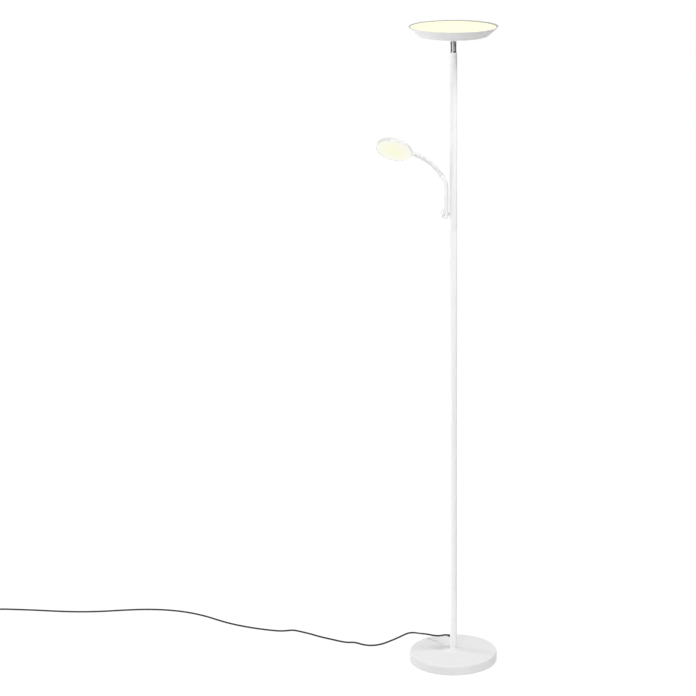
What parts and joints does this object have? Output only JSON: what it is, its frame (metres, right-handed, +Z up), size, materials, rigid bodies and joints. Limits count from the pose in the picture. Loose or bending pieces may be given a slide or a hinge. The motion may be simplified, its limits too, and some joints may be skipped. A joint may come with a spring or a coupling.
{
  "type": "torchiere floor lamp with reading light",
  "caption": "White torchiere floor lamp: round weighted base, slim pole, tilting shallow uplight bowl, and a dimmable reading head on a short gooseneck arm.",
  "frame": {"origin": "on the floor at the pole's axis, under the middle of the base", "axes": "+Z up along the pole; +X to the right of somebody facing the lamp, with the reading arm on the -X side; +Y away from them, the side where the mains lead leaves"},
  "size_m": [1.621, 0.5165, 1.8],
  "materials": {
    "white_steel": "satin white powder coat",
    "white_plastic": "white moulded plastic",
    "grey_plastic": "grey moulded trim",
    "cast_weight": "raw grey casting",
    "pad": "black foam rubber",
    "zinc_steel": "zinc plated",
    "chrome": "polished chrome plate",
    "black_cord": "black PVC sheath",
    "black_plastic": "black moulded plastic",
    "pin_metal": "nickel plated brass",
    "board": "white solder mask on aluminium",
    "led": "yellow phosphor",
    "opal": "opal acrylic, lit from behind",
    "driver": "white moulded case"
  },
  "bodies": {
    "stand": {"base_pad": "pad", "base_weight": "cast_weight", "base_cover": "white_steel", "base_bolt": "zinc_steel", "base_washer": "zinc_steel", "pole_foot_plug": "zinc_steel", "pole_lower_tube": "white_steel", "pole_middle_tube": "white_steel", "pole_upper_tube": "white_steel", "pole_coupler_lower": "zinc_steel", "pole_coupler_upper": "zinc_steel", "pole_top_plug": "zinc_steel", "pole_cable": "black_cord", "cord_strain_relief": "black_cord", "cord_stretch": "black_cord", "cord_coil": "black_cord", "cord_tail": "black_cord", "plug_body": "black_plastic", "plug_pins": "pin_metal", "arm_peg": "white_steel", "arm_peg_nut": "zinc_steel", "arm_foot": "white_plastic", "dimmer_potentiometer": "black_plastic", "arm_tube": "white_steel", "arm_ferrule": "white_steel", "neck_fork": "chrome", "tilt_pin": "chrome", "tilt_nut": "chrome", "friction_washers": "zinc_steel"},
    "gooseneck_1": {"gooseneck_link_1": "white_steel"},
    "gooseneck_2": {"gooseneck_link_2": "white_steel"},
    "gooseneck_3": {"gooseneck_link_3": "white_steel"},
    "gooseneck_4": {"gooseneck_link_4": "white_steel"},
    "gooseneck_5": {"gooseneck_link_5": "white_steel"},
    "gooseneck_6": {"gooseneck_link_6": "white_steel"},
    "gooseneck_7": {"gooseneck_link_7": "white_steel"},
    "gooseneck_8": {"gooseneck_link_8": "white_steel"},
    "arm_tip": {"head_stem": "white_steel", "swivel_nut": "zinc_steel"},
    "reading_head": {"reading_housing": "white_plastic", "reading_led_board": "board", "reading_leds": "led", "reading_screws": "zinc_steel", "reading_diffuser": "opal"},
    "uplight": {"neck_tongue": "chrome", "neck_nut": "zinc_steel", "uplight_bowl": "white_steel", "uplight_driver": "driver", "uplight_standoffs": "zinc_steel", "uplight_led_board": "board", "uplight_leds": "led", "uplight_screws": "zinc_steel", "uplight_diffuser": "opal", "uplight_ring": "grey_plastic"},
    "knob": {"dimmer_shaft": "zinc_steel", "dimmer_knob": "white_plastic"}
  },
  "joints": [
    {"name": "uplight_tilt", "type": "hinge", "parent": "stand", "child": "uplight", "pos_m": [0, 0, 1.752], "axis": [1, 0, 0], "range_deg": [-75, 75]},
    {"name": "dimmer_turn", "type": "hinge", "parent": "stand", "child": "knob", "pos_m": [-0.03, 0, 1.291], "axis": [-1, 0, 0], "range_deg": [0, 270]},
    {"name": "gooseneck_bend_1", "type": "hinge", "parent": "stand", "child": "gooseneck_1", "pos_m": [-0.03197, 0, 1.39679], "axis": [0, -1, 0], "range_deg": [-12, 8]},
    {"name": "gooseneck_sway_1", "type": "hinge", "parent": "gooseneck_1", "child": "gooseneck_2", "pos_m": [-0.03883, 0, 1.40663], "axis": [0.7951, 0, 0.6065], "range_deg": [-12, 12]},
    {"name": "gooseneck_bend_2", "type": "hinge", "parent": "gooseneck_2", "child": "gooseneck_3", "pos_m": [-0.04651, 0, 1.41586], "axis": [0, -1, 0], "range_deg": [-12, 8]},
    {"name": "gooseneck_sway_2", "type": "hinge", "parent": "gooseneck_3", "child": "gooseneck_4", "pos_m": [-0.05495, 0, 1.42439], "axis": [0.6806, 0, 0.7327], "range_deg": [-12, 12]},
    {"name": "gooseneck_bend_3", "type": "hinge", "parent": "gooseneck_4", "child": "gooseneck_5", "pos_m": [-0.06408, 0, 1.43218], "axis": [0, -1, 0], "range_deg": [-12, 8]},
    {"name": "gooseneck_sway_3", "type": "hinge", "parent": "gooseneck_5", "child": "gooseneck_6", "pos_m": [-0.07384, 0, 1.43915], "axis": [0.5463, 0, 0.8376], "range_deg": [-12, 12]},
    {"name": "gooseneck_bend_4", "type": "hinge", "parent": "gooseneck_6", "child": "gooseneck_7", "pos_m": [-0.08416, 0, 1.44527], "axis": [0, -1, 0], "range_deg": [-12, 8]},
    {"name": "gooseneck_sway_4", "type": "hinge", "parent": "gooseneck_7", "child": "gooseneck_8", "pos_m": [-0.09497, 0, 1.45049], "axis": [0.3961, 0, 0.9182], "range_deg": [-12, 12]},
    {"name": "gooseneck_bend_5", "type": "hinge", "parent": "gooseneck_8", "child": "arm_tip", "pos_m": [-0.10618, 0, 1.45477], "axis": [0, -1, 0], "range_deg": [-12, 8]},
    {"name": "reading_head_swivel", "type": "hinge", "parent": "arm_tip", "child": "reading_head", "pos_m": [-0.11483, 0, 1.45725], "axis": [-0.9613, 0, 0.2756], "range_deg": [-130, 50]}
  ],
  "couplings": [
    {"joint": "gooseneck_bend_2", "follows": "gooseneck_bend_1", "ratio": 1},
    {"joint": "gooseneck_sway_2", "follows": "gooseneck_sway_1", "ratio": 1},
    {"joint": "gooseneck_bend_3", "follows": "gooseneck_bend_1", "ratio": 1},
    {"joint": "gooseneck_sway_3", "follows": "gooseneck_sway_1", "ratio": 1},
    {"joint": "gooseneck_bend_4", "follows": "gooseneck_bend_1", "ratio": 1},
    {"joint": "gooseneck_sway_4", "follows": "gooseneck_sway_1", "ratio": 1},
    {"joint": "gooseneck_bend_5", "follows": "gooseneck_bend_1", "ratio": 1}
  ]
}
